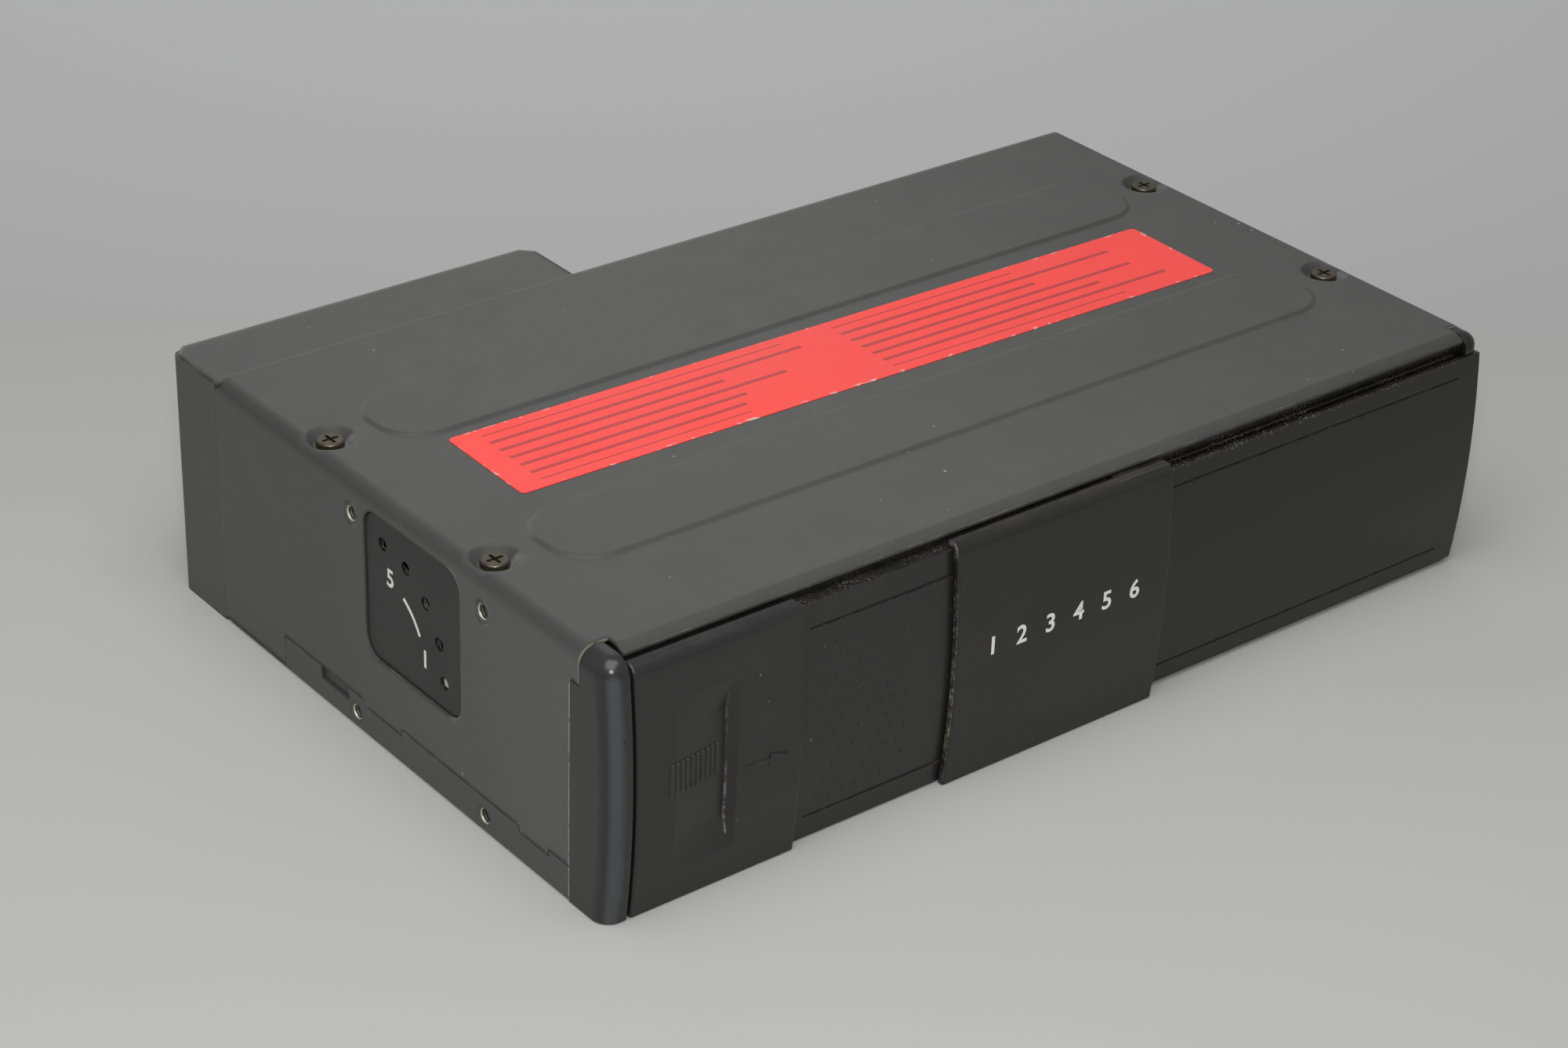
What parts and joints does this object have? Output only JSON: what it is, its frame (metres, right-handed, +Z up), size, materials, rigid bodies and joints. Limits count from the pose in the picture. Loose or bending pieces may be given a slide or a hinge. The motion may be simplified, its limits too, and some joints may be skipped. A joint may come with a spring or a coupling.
{
  "type": "car disc changer",
  "caption": "Low steel-cased disc changer for a car boot: bowed two-leaf sliding door, side spring adjusters, disc magazine, lifting player and a rear socket bay.",
  "frame": {"origin": "centre of the whole object's footprint, on its underside", "axes": "+X along the front from the grip end of the door to the fixed panel, +Y from the front to the rear, +Z up"},
  "size_m": [0.265, 0.1768, 0.0652],
  "materials": {
    "cover_paint": "satin black baked enamel, lightly worn",
    "tray_steel": "satin black baked enamel",
    "bezel_plastic": "satin black, fine grain",
    "door_plastic": "satin black, fine grain",
    "sticker_red": "printed film, worn edges",
    "screw_black": "black zinc",
    "zinc_steel": "zinc plated",
    "scale_plastic": "matt black moulding",
    "arm_plastic": "natural acetal",
    "spring_steel": "spring wire",
    "plug_rubber": "matt",
    "socket_plastic": "grey moulding",
    "damper_rubber": "matt",
    "magazine_plastic": "black moulding",
    "tray_plastic": "dark grey moulding",
    "shiny_metal": "bright",
    "motor_steel": "bright",
    "brass_gear": "cut teeth",
    "deck_plastic": "black moulding",
    "white_plastic": "natural acetal",
    "lens_glass": "polished",
    "board_green": "solder mask",
    "chip_black": "matt"
  },
  "bodies": {
    "casing": {"top_cover": "cover_paint", "chassis_tray": "tray_steel", "front_bezel": "bezel_plastic", "top_sticker": "sticker_red", "cover_screws": "screw_black", "left_side_frame": "zinc_steel", "right_side_frame": "zinc_steel", "left_scale_plate": "scale_plastic", "right_scale_plate": "scale_plastic", "transit_plugs": "plug_rubber", "bus_socket": "socket_plastic", "power_socket": "socket_plastic", "deck": "zinc_steel", "dampers": "damper_rubber", "magazine_case": "magazine_plastic", "magazine_trays": "tray_plastic", "lift_motor": "motor_steel", "motor_bracket": "zinc_steel", "main_board": "board_green", "board_chips": "chip_black", "board_standoffs": "shiny_metal"},
    "middle_leaf": {"centre_door": "door_plastic"},
    "grip_leaf": {"grip_door": "door_plastic"},
    "left_adjuster": {"left_adjuster_arm": "arm_plastic", "left_float_spring": "spring_steel"},
    "right_adjuster": {"right_adjuster_arm": "arm_plastic", "right_float_spring": "spring_steel"},
    "button": {"eject_button": "tray_plastic"},
    "lift_slides": {"lift_slide_front": "zinc_steel", "lift_slide_rear": "zinc_steel"},
    "pinion": {"lift_pinion": "brass_gear"},
    "carriage": {"carriage": "deck_plastic", "lift_pins": "shiny_metal", "spindle_motor": "motor_steel", "guide_rods": "shiny_metal", "sled_motor": "motor_steel", "clamp_pin": "shiny_metal"},
    "turntable": {"turntable": "tray_plastic"},
    "sled": {"pickup_sled": "deck_plastic", "pickup_lens": "lens_glass"},
    "screw": {"sled_screw": "shiny_metal"},
    "clamp": {"clamp_arm": "zinc_steel", "clamp_puck": "white_plastic"}
  },
  "joints": [
    {"name": "middle_leaf_slide", "type": "slide", "parent": "casing", "child": "middle_leaf", "axis": [1, 0, 0], "range_m": [0, 0.101]},
    {"name": "grip_leaf_slide", "type": "slide", "parent": "middle_leaf", "child": "grip_leaf", "axis": [1, 0, 0], "range_m": [0, 0.0424]},
    {"name": "left_adjuster_turn", "type": "hinge", "parent": "casing", "child": "left_adjuster", "pos_m": [-0.13, -0.00217, 0.03], "axis": [-1, 0, 0], "range_deg": [0, 90]},
    {"name": "right_adjuster_turn", "type": "hinge", "parent": "casing", "child": "right_adjuster", "pos_m": [0.13, -0.00217, 0.03], "axis": [-1, 0, 0], "range_deg": [0, 90]},
    {"name": "eject_button_press", "type": "slide", "parent": "casing", "child": "button", "axis": [0, 1, 0], "range_m": [0, 0.003], "stiffness_N_per_m": 300, "springref_m": -0.002},
    {"name": "carriage_lift", "type": "slide", "parent": "casing", "child": "carriage", "axis": [0, 0, 1], "range_m": [0, 0.033]},
    {"name": "lift_slides_shift", "type": "slide", "parent": "casing", "child": "lift_slides", "axis": [1, 0, 0], "range_m": [0, 0.0198]},
    {"name": "pinion_spin", "type": "hinge", "parent": "casing", "child": "pinion", "pos_m": [0.08, -0.06867, 0.05576], "axis": [0, -1, 0], "range_deg": [0, 283.7]},
    {"name": "turntable_spin", "type": "hinge", "parent": "carriage", "child": "turntable", "pos_m": [0.058, -0.00568, 0.01], "axis": [0, 0, 1], "continuous": true},
    {"name": "sled_travel", "type": "slide", "parent": "carriage", "child": "sled", "axis": [0, -1, 0], "range_m": [0, 0.028]},
    {"name": "screw_spin", "type": "hinge", "parent": "carriage", "child": "screw", "pos_m": [0.088, -0.03367, 0.005], "axis": [0, 1, 0], "range_deg": [0, 2521]},
    {"name": "clamp_tilt", "type": "hinge", "parent": "carriage", "child": "clamp", "pos_m": [0.1195, -0.00568, 0.0186], "axis": [0, -1, 0], "range_deg": [0, 1.8], "stiffness_Nm_per_rad": 0.02, "springref_deg": -34.38}
  ],
  "couplings": [
    {"joint": "lift_slides_shift", "follows": "carriage_lift", "ratio": 0.6},
    {"joint": "pinion_spin", "follows": "carriage_lift", "rad_per_m": 150},
    {"joint": "screw_spin", "follows": "sled_travel", "rad_per_m": 1570.8}
  ]
}
